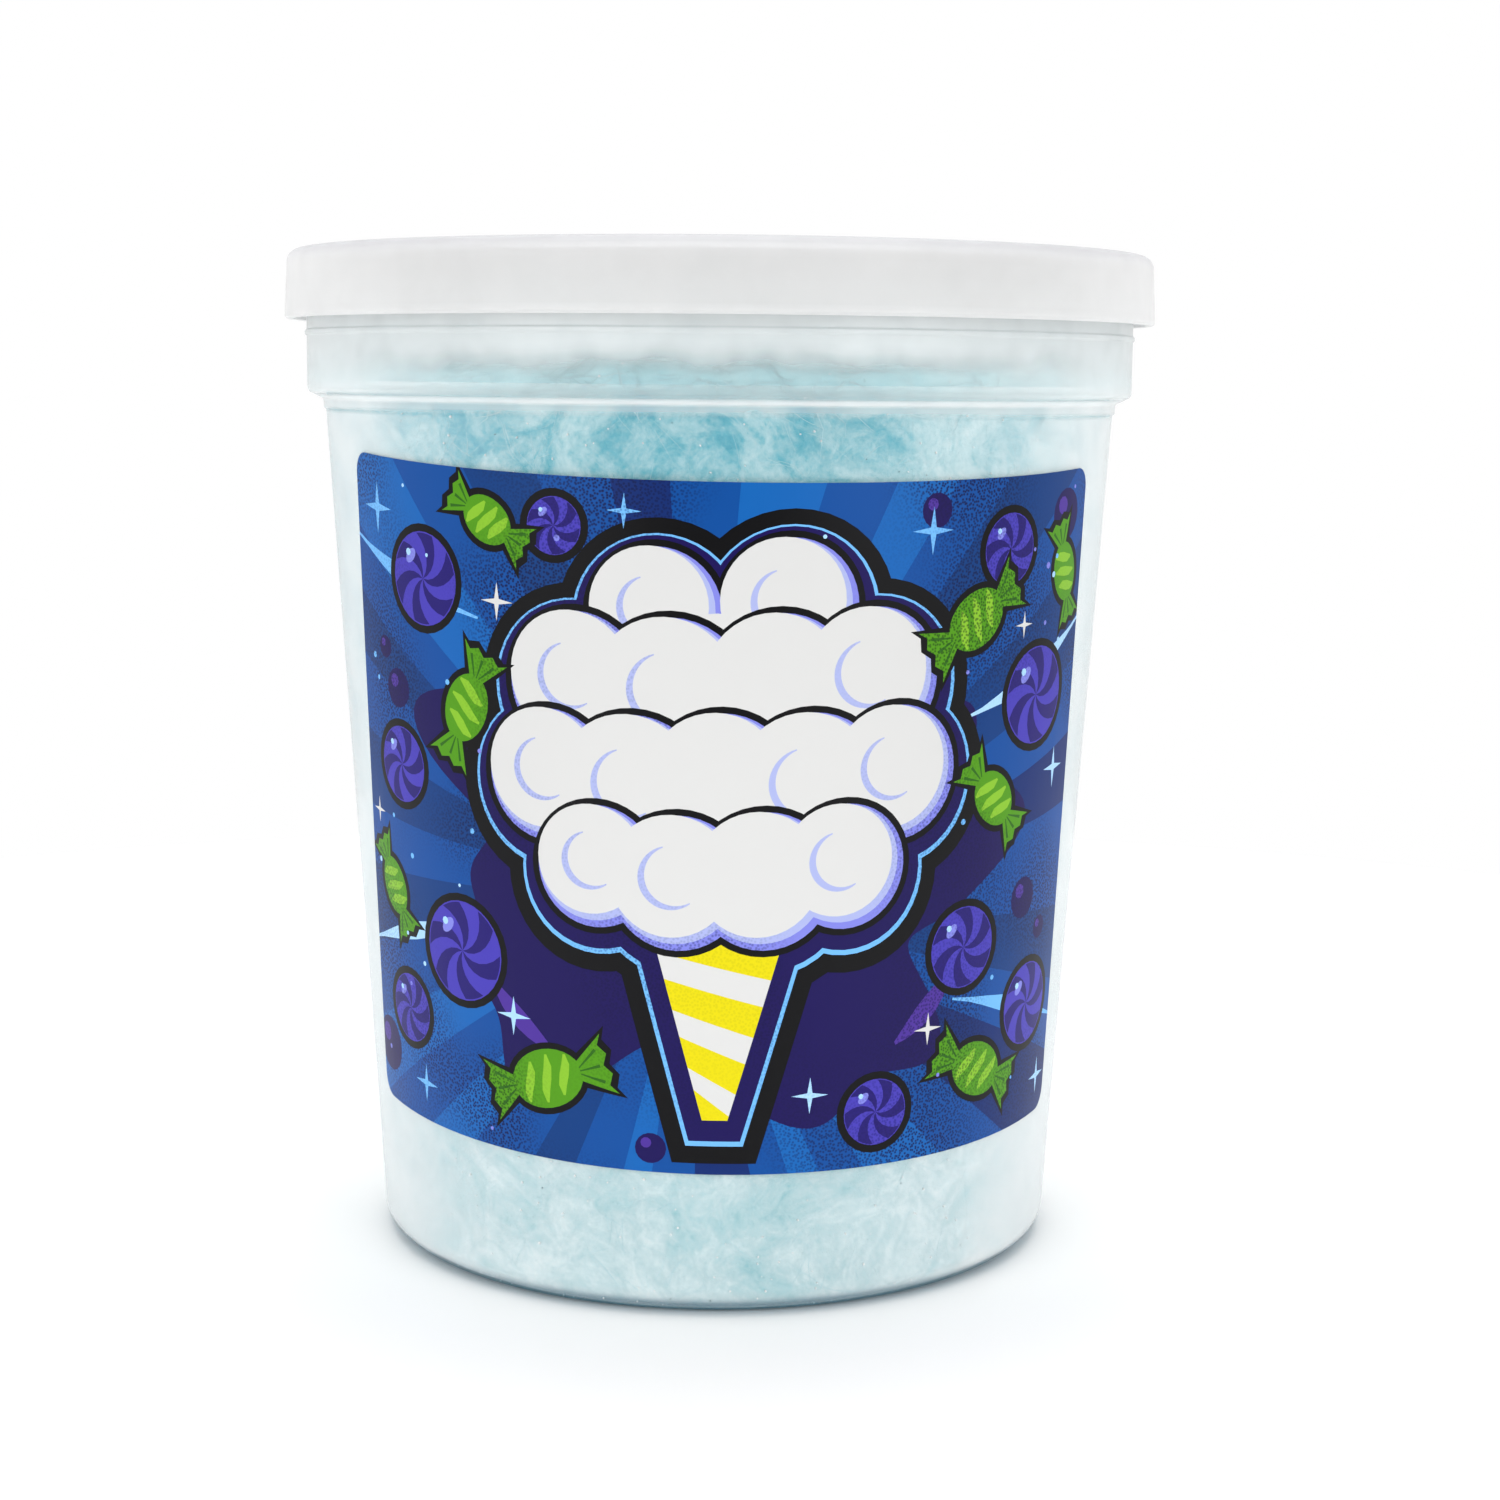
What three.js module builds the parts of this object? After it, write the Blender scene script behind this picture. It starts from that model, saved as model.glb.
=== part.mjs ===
// A round tub of cotton candy: polypropylene tub with a wider collar, push-on
// lid with a sunken panel, printed label on the front and the candy packed in.
// Millimetres, +Z up, the tub stands on z = 0 and the label faces -Y.

import * as THREE from 'three';
import { mergeVertices } from 'three/addons/utils/BufferGeometryUtils.js';

// ---- driving dimensions -------------------------------------------------

const segments = 64; // facets round the tub and the lid
const candySegments = 54;

// tub
const baseRadius = 46.7; // where the tapered wall would meet the floor
const taper = 0.0639; // growth of the radius for each mm of height
const wall = 0.8;
const floorThickness = 1.0;
const cornerRadius = 4.0; // outer corner between wall and base
const footWidth = 7.0; // flat ring that the tub stands on
const footHeight = 0.9; // the base inside the ring is sunk by this
const shoulderHeight = 115.5; // underside of the collar at the wall
const shoulderRise = 0.7; // slope of that underside
const collarRadius = 56.5;
const collarCorner = 0.9;
const stepBand = { height: 1.2, proud: 0.3 }; // thick band under the collar
const bead = { height: 124.3, width: 0.9, proud: 0.25 };
const rim = { bottom: 129.8, top: 133.9, radius: 58.0, fillet: 1.0, lead: 0.6 };

// lid
const lidRadius = 59.4; // at the lower edge of the skirt
const lidDraft = 0.35; // the skirt is this much narrower at the top
const lidWall = 0.85;
const lidTop = 135.3;
const lidBottom = 126.1;
const lidCorner = 1.7; // rounded outer edge of the top
const lidHook = { depth: 0.7, height: 1.2, chamfer: 0.3 }; // catch edge inside the skirt
const channelClearance = 0.2; // above the tub's rim
const channelChamfer = 0.6;
const plugRadius = 55.2; // outside of the wall that fits in the mouth
const plugDraft = 0.6; // that wall is this much narrower at the panel
const flangeCorner = 1.2; // round edge where the flat top turns down into it
const panelUnderside = 124.2;
const panelThickness = 0.85;
const panelFillet = 1.2;
const panelStep = { radius: 44.0, rise: 0.9, slope: 1.6 }; // raised middle

// label, measured on the unrolled cone
const label = {
  widthTop: 115.8,
  widthBottom: 113.4,
  height: 87.3,
  corner: 2.8,
  tilt: -0.75, // degrees, as stuck on
  shift: 0.43, // of its centre, to the right
  centreHeight: 62.8,
  gap: 0.3,
  thickness: 0.25,
  columns: 26, // between the corners
  cornerColumns: 4,
  rows: 4,
};

// candy
const candyGap = 0.4; // clear of the tub all round
const candyTop = 120.9; // mean height of the uneven top
const candyEdge = { width: 4.5, height: 3.0 }; // round edge of the top
const collarBulge = { size: 0.9, from: 1, to: 5 }; // into the collar, heights above the shoulder
const candyRings = { side: 18, top: 9 };
const foldDepth = 0.6; // share of the waves below that shows in the side
const tuftReach = 16; // depth below the top where tufts fade out
const calmCentre = 0.35; // share of the tufts left in the middle of the top

// ---- helpers ------------------------------------------------------------

const wallRadius = (z) => baseRadius + taper * z;
const taperAngle = Math.atan(taper);
const degrees = (angle) => (angle * Math.PI) / 180;

// points of an arc in the (radius, height) plane, angles in degrees
function arc(cx, cz, radius, from, to, steps) {
  return Array.from({ length: steps + 1 }, (_, i) => {
    const angle = degrees(from + ((to - from) * i) / steps);
    return [cx + radius * Math.cos(angle), cz + radius * Math.sin(angle)];
  });
}

// turns a closed profile of [radius, height] points about the Z axis
function turned(profile, count) {
  const points = profile.map(([radius, z]) => new THREE.Vector2(Math.max(radius, 0), z));
  const geometry = new THREE.LatheGeometry(points, count);
  geometry.rotateX(Math.PI / 2);
  return geometry;
}

// only positions, with the vertices at seams and poles made one
function merged(geometry) {
  geometry.deleteAttribute('normal');
  geometry.deleteAttribute('uv');
  return mergeVertices(geometry, 1e-3);
}

function part(name, geometry, color, roughness, opacity = 1) {
  const material = new THREE.MeshStandardMaterial({
    color,
    roughness,
    metalness: 0,
    transparent: opacity < 1,
    opacity,
  });
  const mesh = new THREE.Mesh(geometry, material);
  mesh.name = name;
  return mesh;
}

// ---- tub ----------------------------------------------------------------

// One wall all the way: sunken base, foot ring, taper, shoulder, collar, rim.
function tubGeometry() {
  const tilt = (taperAngle * 180) / Math.PI;
  const footOuter = wallRadius(cornerRadius) - cornerRadius / Math.cos(taperAngle);
  const footInner = footOuter - footWidth;
  const bandBottom = shoulderHeight - stepBand.height;
  const collarBottom = shoulderHeight + shoulderRise;
  const collarInner = collarRadius - wall;
  const innerFloor = footHeight + floorThickness;
  const innerCorner = cornerRadius - wall;
  const innerWall = (z) => wallRadius(z) - wall;
  const innerCornerCentre = innerWall(innerFloor + innerCorner) - innerCorner;

  const outside = [
    [0, footHeight],
    [footInner - footHeight, footHeight],
    [footInner, 0],
    ...arc(footOuter, cornerRadius, cornerRadius, -90, -tilt, 6),
    [wallRadius(bandBottom - stepBand.proud), bandBottom - stepBand.proud],
    [wallRadius(bandBottom) + stepBand.proud, bandBottom],
    [wallRadius(shoulderHeight) + stepBand.proud, shoulderHeight],
    ...arc(collarRadius - collarCorner, collarBottom + collarCorner, collarCorner, -75, 0, 3),
    [collarRadius, bead.height - bead.width / 2],
    [collarRadius + bead.proud, bead.height - bead.width / 4],
    [collarRadius + bead.proud, bead.height + bead.width / 4],
    [collarRadius, bead.height + bead.width / 2],
    [collarRadius, rim.bottom - rim.lead],
    [rim.radius, rim.bottom + rim.lead],
    ...arc(rim.radius - rim.fillet, rim.top - rim.fillet, rim.fillet, 0, 90, 3),
  ];
  const inside = [
    ...arc(collarInner + rim.lead, rim.top - rim.lead, rim.lead, 90, 180, 2),
    [collarInner, collarBottom + wall + collarCorner],
    [collarInner - collarCorner, collarBottom + wall],
    [innerWall(shoulderHeight), shoulderHeight + wall / 2],
    [innerWall(bandBottom), bandBottom],
    ...arc(innerCornerCentre, innerFloor + innerCorner, innerCorner, 0, -90, 4),
    [footInner - footHeight - floorThickness, innerFloor],
    [0, innerFloor],
  ];
  return turned([...outside, ...inside], segments);
}

// ---- lid ----------------------------------------------------------------

// Skirt over the rim, flat top, wall down into the mouth, sunken panel.
function lidGeometry() {
  const topRadius = lidRadius - lidDraft;
  const skirtInner = lidRadius - lidWall;
  const channelTop = lidTop - lidWall - channelClearance;
  const mouth = plugRadius - lidWall;
  const plugFoot = plugRadius - plugDraft;
  const panelTop = panelUnderside + panelThickness;
  const panelEdge = mouth - plugDraft;
  const stepInner = panelStep.radius - panelStep.slope;

  return turned(
    [
      // underside, from the axis outwards
      [0, panelUnderside + panelStep.rise],
      [stepInner, panelUnderside + panelStep.rise],
      [panelStep.radius, panelUnderside],
      ...arc(plugFoot - panelFillet, panelUnderside + panelFillet, panelFillet, -90, 0, 3),
      [plugRadius, channelTop - channelChamfer],
      [plugRadius + channelChamfer, channelTop],
      [topRadius - lidWall - channelChamfer, channelTop],
      [topRadius - lidWall, channelTop - channelChamfer],
      [skirtInner, lidBottom + 2 * lidHook.height],
      [skirtInner - lidHook.depth, lidBottom + lidHook.height],
      [skirtInner - lidHook.depth + lidHook.chamfer, lidBottom],
      // outside, from the skirt's edge up and back to the axis
      [lidRadius - lidHook.chamfer, lidBottom],
      [lidRadius, lidBottom + lidHook.chamfer],
      ...arc(topRadius - lidCorner, lidTop - lidCorner, lidCorner, 0, 90, 5),
      ...arc(mouth + flangeCorner, lidTop - flangeCorner, flangeCorner, 90, 180, 3),
      [panelEdge, panelTop + panelFillet],
      [panelEdge - panelFillet, panelTop],
      [panelStep.radius, panelTop],
      [stepInner, panelTop + panelStep.rise],
      [0, panelTop + panelStep.rise],
    ],
    segments,
  );
}

// ---- label --------------------------------------------------------------

// A point of the unrolled label, wrapped on the tapered wall at some offset.
function onCone(u, v, offset) {
  const sine = Math.sin(taperAngle);
  const apex = wallRadius(label.centreHeight) / sine;
  const turnedU = u * Math.cos(degrees(label.tilt)) - v * Math.sin(degrees(label.tilt)) + label.shift;
  const turnedV = u * Math.sin(degrees(label.tilt)) + v * Math.cos(degrees(label.tilt));
  const slant = Math.hypot(turnedU, apex + turnedV);
  const azimuth = Math.atan2(turnedU, apex + turnedV) / sine;
  const z = label.centreHeight + (slant - apex) * Math.cos(taperAngle);
  const radius = slant * sine + offset;
  return [radius * Math.sin(azimuth), -radius * Math.cos(azimuth), z];
}

// A thin plate with round corners: a grid on its back, one on its face, and
// a strip all round that joins them.
function labelGeometry() {
  const { rows, cornerColumns } = label;
  const half = label.height / 2;
  const straight = 1 - label.corner / (label.widthTop / 2);
  // each column: its place across, from -1 to 1, and its reach up and down
  const columns = [];
  for (let i = 0; i < cornerColumns; i++) {
    const angle = degrees((90 * i) / cornerColumns);
    const across = -straight - (1 - straight) * Math.cos(angle);
    columns.push([across, half - label.corner * (1 - Math.sin(angle))]);
  }
  for (let i = 0; i <= label.columns; i++) {
    columns.push([straight * ((2 * i) / label.columns - 1), half]);
  }
  for (let i = cornerColumns - 1; i >= 0; i--) {
    const [across, reach] = columns[i];
    columns.push([-across, reach]);
  }

  const positions = [];
  const index = [];
  const point = (i, j, offset) => {
    const [across, reach] = columns[i];
    const v = reach * ((2 * j) / rows - 1);
    const share = 0.5 + v / label.height;
    const halfWidth = (label.widthBottom + (label.widthTop - label.widthBottom) * share) / 2;
    return onCone(across * halfWidth, v, offset);
  };
  const quad = (a, b, c, d) => {
    const first = positions.length / 3;
    positions.push(...a, ...b, ...c, ...d);
    index.push(first, first + 1, first + 2, first, first + 2, first + 3);
  };
  const back = label.gap;
  const face = label.gap + label.thickness;
  const last = columns.length - 1;
  for (let i = 0; i < last; i++) {
    for (let j = 0; j < rows; j++) {
      quad(point(i, j, face), point(i + 1, j, face), point(i + 1, j + 1, face), point(i, j + 1, face));
      quad(point(i, j, back), point(i, j + 1, back), point(i + 1, j + 1, back), point(i + 1, j, back));
    }
    quad(point(i, 0, back), point(i + 1, 0, back), point(i + 1, 0, face), point(i, 0, face));
    quad(point(i, rows, face), point(i + 1, rows, face), point(i + 1, rows, back), point(i, rows, back));
  }
  for (let j = 0; j < rows; j++) {
    quad(point(0, j, back), point(0, j, face), point(0, j + 1, face), point(0, j + 1, back));
    quad(point(last, j, face), point(last, j, back), point(last, j + 1, back), point(last, j + 1, face));
  }
  const geometry = new THREE.BufferGeometry();
  geometry.setAttribute('position', new THREE.Float32BufferAttribute(positions, 3));
  geometry.setIndex(index);
  return mergeVertices(geometry, 1e-3);
}

// ---- candy --------------------------------------------------------------

// Waves as [turns round the tub, radians for each mm along, phase, size in mm].
const folds = [
  [3, 0.13, 0.4, 0.42],
  [5, -0.21, 1.9, 0.34],
  [8, 0.32, 3.3, 0.26],
  [13, -0.44, 5.1, 0.2],
  [19, 0.61, 0.9, 0.14],
];
const tufts = [
  [4, 0.06, 0.5, 0.5],
  [7, 0.11, 2.2, 0.4],
  [11, 0.19, 4.6, 0.28],
  [17, 0.27, 1.2, 0.2],
];

const waves = (list, azimuth, along) =>
  list.reduce(
    (sum, [turns, rate, phase, size]) => sum + size * Math.sin(turns * azimuth + rate * along + phase),
    0,
  );

// A soft plug that fills the tub: shallow folds where it meets the wall and an
// uneven top with tufts pulled up here and there.
function candyGeometry() {
  const floor = footHeight + floorThickness + candyGap;
  const room = (z) => {
    const straightWall = wallRadius(z) - wall - candyGap;
    const { size, from, to } = collarBulge;
    return straightWall + size * THREE.MathUtils.smoothstep(z - shoulderHeight, from, to);
  };
  const wallStart = floor + cornerRadius;
  const wallEnd = candyTop - candyEdge.height;
  const flatTop = room(candyTop) - candyEdge.width;
  const profile = [
    [0, floor],
    [room(floor) / 2, floor],
    ...arc(room(wallStart) - cornerRadius, wallStart, cornerRadius, -90, 0, 4),
  ];
  for (let i = 1; i <= candyRings.side; i++) {
    const z = wallStart + ((wallEnd - wallStart) * i) / candyRings.side;
    profile.push([room(z), z]);
  }
  for (const angle of [30, 60, 90]) {
    const across = candyEdge.width * Math.cos(degrees(angle));
    const down = candyEdge.height * (1 - Math.sin(degrees(angle)));
    profile.push([flatTop + across, candyTop - down]);
  }
  for (let i = 1; i <= candyRings.top; i++) {
    profile.push([flatTop * (1 - i / candyRings.top), candyTop]);
  }

  const geometry = turned(profile, candySegments);
  const position = geometry.getAttribute('position');
  const point = new THREE.Vector3();
  const proudest = folds.reduce((sum, [, , , size]) => sum + size, 0);
  for (let i = 0; i < position.count; i++) {
    point.fromBufferAttribute(position, i);
    const radius = Math.hypot(point.x, point.y);
    const azimuth = Math.atan2(point.y, point.x);
    const outer = THREE.MathUtils.smoothstep(radius, 8, 40); // 0 at the axis, 1 near the wall
    const inward = (waves(folds, azimuth, point.z) - proudest) * foldDepth * outer;
    const scale = radius > 0 ? 1 + inward / radius : 1;
    const lift = THREE.MathUtils.smoothstep(point.z, candyTop - tuftReach, candyTop);
    const tuft = waves(tufts, azimuth, radius) * lift * THREE.MathUtils.lerp(calmCentre, 1, outer);
    position.setXYZ(i, point.x * scale, point.y * scale, point.z + tuft);
  }
  return geometry;
}

// ---- the tub of candy ---------------------------------------------------

const group = new THREE.Group();
group.add(
  part('tub', merged(tubGeometry()), 0xe8eef0, 0.35, 0.55),
  part('lid', merged(lidGeometry()), 0xeeeeee, 0.35, 0.7),
  part('label', labelGeometry(), 0x1f63b5, 0.4),
  part('cotton_candy', merged(candyGeometry()), 0x9fd3de, 0.9),
);

export default group;
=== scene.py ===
import math
import random

import bmesh
import bpy
from mathutils import Matrix, Vector, geometry, noise


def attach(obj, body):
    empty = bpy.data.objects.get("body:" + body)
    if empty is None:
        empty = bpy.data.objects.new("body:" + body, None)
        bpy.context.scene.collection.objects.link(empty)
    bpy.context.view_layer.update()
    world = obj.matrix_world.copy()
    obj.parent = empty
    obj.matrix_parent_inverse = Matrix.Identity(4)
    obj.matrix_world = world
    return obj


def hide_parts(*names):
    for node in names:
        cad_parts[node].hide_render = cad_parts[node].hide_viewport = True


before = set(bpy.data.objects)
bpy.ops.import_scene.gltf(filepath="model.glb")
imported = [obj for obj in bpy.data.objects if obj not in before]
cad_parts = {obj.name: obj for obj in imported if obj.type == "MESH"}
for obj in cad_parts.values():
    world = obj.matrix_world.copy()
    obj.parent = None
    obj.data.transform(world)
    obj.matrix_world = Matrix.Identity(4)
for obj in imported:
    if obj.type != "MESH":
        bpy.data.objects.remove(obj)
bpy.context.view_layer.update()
mm = 0.001  # sizes below are in millimetres, meshes in metres


# small helpers

def colour(hexValue, alpha=1.0):
    # sRGB hex to the linear colour that the shaders take
    values = [int(hexValue[i:i + 2], 16) / 255 for i in (1, 3, 5)]
    return [v / 12.92 if v <= 0.04045 else ((v + 0.055) / 1.055) ** 2.4 for v in values] + [alpha]


def addNode(tree, kind, inputs=None, **settings):
    # one node: its options, then each input as a value or as the node or output that feeds it
    node = tree.nodes.new(kind)
    for name, value in settings.items():
        setattr(node, name, value)
    for name, value in (inputs or {}).items():
        if isinstance(value, bpy.types.Node):
            value = value.outputs[0]
        if isinstance(value, bpy.types.NodeSocket):
            tree.links.new(value, node.inputs[name])
        else:
            node.inputs[name].default_value = value
    return node


def maths(tree, operation, *values, clamp=False):
    return addNode(tree, "ShaderNodeMath", dict(enumerate(values)), operation=operation, use_clamp=clamp)


def vectorMaths(tree, operation, vector, other):
    # SCALE takes a number, the rest take a second vector
    place = "Scale" if operation == "SCALE" else 1
    return addNode(tree, "ShaderNodeVectorMath", {0: vector, place: other}, operation=operation)


def remap(tree, value, low=0, high=1, start=0, end=1, smooth=False):
    # low to high becomes start to end, and stays level outside
    return addNode(tree, "ShaderNodeMapRange", {
        "Value": value, "From Min": low, "From Max": high, "To Min": start, "To Max": end},
        interpolation_type="SMOOTHSTEP" if smooth else "LINEAR")


def noiseField(tree, vector, width, detail, roughness=0.5):
    # soft noise with its hills about this many millimetres apart
    return addNode(tree, "ShaderNodeTexNoise", {
        "Vector": vector, "Scale": 1 / (width * mm), "Detail": detail, "Roughness": roughness})


def softPush(tree, vector, width, detail, reach):
    # a shift that changes slowly from place to place, up to half the reach each way
    field = noiseField(tree, vector, width, detail)
    centred = vectorMaths(tree, "SUBTRACT", field.outputs["Color"], (0.5, 0.5, 0.5))
    return vectorMaths(tree, "SCALE", centred, reach)


def mixColours(tree, factor, first, second, blend="MIX"):
    # the colour sockets of this node are numbers 6 and 7 in and 2 out
    return addNode(tree, "ShaderNodeMix", {"Factor": factor, 6: first, 7: second},
                   data_type="RGBA", blend_type=blend).outputs[2]


def colourRamp(tree, factor, stops):
    # stops are pairs of a place and a hex colour or a plain amount
    ramp = addNode(tree, "ShaderNodeValToRGB", {"Fac": factor})
    elements = ramp.color_ramp.elements
    while len(elements) < len(stops):
        elements.new(1.0)
    for element, (place, value) in zip(elements, stops):
        element.position = place
        element.color = colour(value) if isinstance(value, str) else (value, value, value, 1)
    return ramp


def newMaterial(name):
    material = bpy.data.materials.new(name)
    material.use_nodes = True
    material.node_tree.nodes.clear()
    return material, material.node_tree


def finishMaterial(tree, inputs):
    shader = addNode(tree, "ShaderNodeBsdfPrincipled", inputs)
    addNode(tree, "ShaderNodeOutputMaterial", {"Surface": shader})


def newObject(name, data):
    thing = bpy.data.objects.new(name, data)
    bpy.context.scene.collection.objects.link(thing)
    return thing


def meshPiece(name, points, faces, material, smoothAngle=None):
    # points in millimetres; the object itself stays at the origin
    mesh = bpy.data.meshes.new(name)
    mesh.from_pydata([Vector(p) * mm for p in points], [], faces)
    work = bmesh.new()
    work.from_mesh(mesh)
    bmesh.ops.recalc_face_normals(work, faces=work.faces)
    work.to_mesh(mesh)
    work.free()
    mesh.materials.append(material)
    mesh.shade_smooth()
    if smoothAngle:
        mesh.set_sharp_from_angle(angle=math.radians(smoothAngle))
    return newObject(name, mesh)


def polar(x, y, radius, angle):
    return (x + radius * math.cos(angle), y + radius * math.sin(angle))


def arcPoints(centreRadius, centreHeight, radius, start, end, steps):
    # points of an arc in the (radius, height) plane, angles in degrees
    turns = [math.radians(start + (end - start) * i / steps) for i in range(steps + 1)]
    return [polar(centreRadius, centreHeight, radius, turn) for turn in turns]


def softened(profile, radius, steps=3, leastTurn=12):
    # every sharp corner of a profile gets a small round, as moulded plastic has
    rounded = [Vector(profile[0])]
    for before, corner, after in zip(profile, profile[1:], profile[2:]):
        before, corner, after = Vector(before), Vector(corner), Vector(after)
        turn = (corner - before).angle(after - corner)
        if turn < math.radians(leastTurn):
            rounded.append(corner)
            continue
        cut = min(radius * math.tan(turn / 2), 0.4 * (corner - before).length, 0.4 * (after - corner).length)
        start = corner + (before - corner).normalized() * cut
        end = corner + (after - corner).normalized() * cut
        for i in range(steps + 1):
            share = i / steps
            rounded.append(start.lerp(corner, share).lerp(corner.lerp(end, share), share))
    rounded.append(Vector(profile[-1]))
    return rounded


def turnedPiece(name, profile, segments, material, smoothAngle=None):
    # a closed profile that starts and ends on the axis, turned about Z
    points = [(0, 0, profile[0][1])]
    for radius, height in profile[1:-1]:
        points += [(*polar(0, 0, radius, math.tau * i / segments), height) for i in range(segments)]
    points.append((0, 0, profile[-1][1]))
    rings = len(profile) - 2
    last = len(points) - 1
    faces = []
    for i in range(segments):
        after = (i + 1) % segments
        faces.append((0, 1 + after, 1 + i))
        for j in range(rings - 1):
            low, high = 1 + j * segments, 1 + (j + 1) * segments
            faces.append((low + i, low + after, high + after, high + i))
        top = 1 + (rings - 1) * segments
        faces.append((last, top + i, top + after))
    return meshPiece(name, points, faces, material, smoothAngle)


# camera and stage

view = {
    "lens": 64.96, "sensor": 36,
    "distance": 378.6,
    "height": 118.67,
    "pitch": 7.82,  # degrees down
    "yaw": 0.693,
    "roll": -0.504,
}


def makeCamera():
    pitch, yaw, roll = (math.radians(view[name]) for name in ("pitch", "yaw", "roll"))
    ahead = Vector((math.sin(yaw) * math.cos(pitch), math.cos(yaw) * math.cos(pitch), -math.sin(pitch)))
    level = Vector((math.cos(yaw), -math.sin(yaw), 0))
    above = level.cross(ahead)
    right = level * math.cos(roll) - above * math.sin(roll)
    up = above * math.cos(roll) + level * math.sin(roll)
    data = bpy.data.cameras.new("camera")
    data.lens = view["lens"]
    data.sensor_width = view["sensor"]
    data.clip_start = 0.01
    camera = newObject("camera", data)
    place = Vector((0, -view["distance"], view["height"])) * mm
    turn = Matrix((right, up, -ahead)).transposed()
    camera.matrix_world = Matrix.Translation(place) @ turn.to_4x4()
    bpy.context.scene.camera = camera


stage = {
    "floorRadius": 330, "floorTone": "#fcfcfc",
    "sky": 0.8,
    "front": 0.24,  # the room in front is darker than the white walls round it
    # how far a direction points along Y and Z, where the dark front gives way to white
    "behind": (-0.9, -0.2), "above": (0.3, 0.7),
    "lampAim": (0, 0, 0.07),
    # both front lamps stand low, so that no shadow falls under the lid
    "key": {"place": (-0.7, -0.8, 0.32), "size": 0.7, "power": 4.55},
    "fill": {"place": (0.72, -0.78, 0.3), "size": 0.7, "power": 4.3},
    "top": {"place": (0.0, 0.25, 1.2), "size": 1.0, "power": 7.4},
}


def softLight(name, place, size, power):
    data = bpy.data.lights.new(name, "AREA")
    data.shape = "SQUARE"
    data.size = size
    data.energy = power
    lamp = newObject(name, data)
    lamp.location = place
    lamp.rotation_euler = (Vector(stage["lampAim"]) - Vector(place)).to_track_quat("-Z", "Y").to_euler()


def makeStage():
    # plain matt white floor: only the soft contact shadow shows on it
    material, tree = newMaterial("matt white laminate")
    finishMaterial(tree, {
        "Base Color": colour(stage["floorTone"]), "Roughness": 0.9, "Specular IOR Level": 0.1})
    edge = [(x, y, 0) for x, y in circleShape(0, 0, stage["floorRadius"], 96)]
    meshPiece("floor", edge, [tuple(range(len(edge)))], material)

    world = bpy.data.worlds.new("white studio")
    world.use_nodes = True
    tree = world.node_tree
    tree.nodes.clear()
    heading = addNode(tree, "ShaderNodeTexCoord").outputs["Generated"]
    parts = addNode(tree, "ShaderNodeSeparateXYZ", {"Vector": heading}).outputs
    behind = remap(tree, parts["Y"], *stage["behind"], smooth=True)
    above = remap(tree, parts["Z"], *stage["above"], smooth=True)
    white = maths(tree, "MAXIMUM", behind, above)
    strength = remap(tree, white, start=stage["front"], end=stage["sky"])
    around = addNode(tree, "ShaderNodeBackground", {"Color": (1, 1, 1, 1), "Strength": strength})
    seen = addNode(tree, "ShaderNodeBackground", {"Color": (1, 1, 1, 1), "Strength": 1.0})
    path = addNode(tree, "ShaderNodeLightPath")
    mixed = addNode(tree, "ShaderNodeMixShader", {0: path.outputs["Is Camera Ray"], 1: around, 2: seen})
    addNode(tree, "ShaderNodeOutputWorld", {"Surface": mixed})
    bpy.context.scene.world = world
    for name in ("key", "fill", "top"):
        softLight(name, **stage[name])
    bpy.context.scene.view_settings.view_transform = "Standard"


# tub: one wall of moulded polypropylene with a sunken base, band, collar and rim

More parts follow.
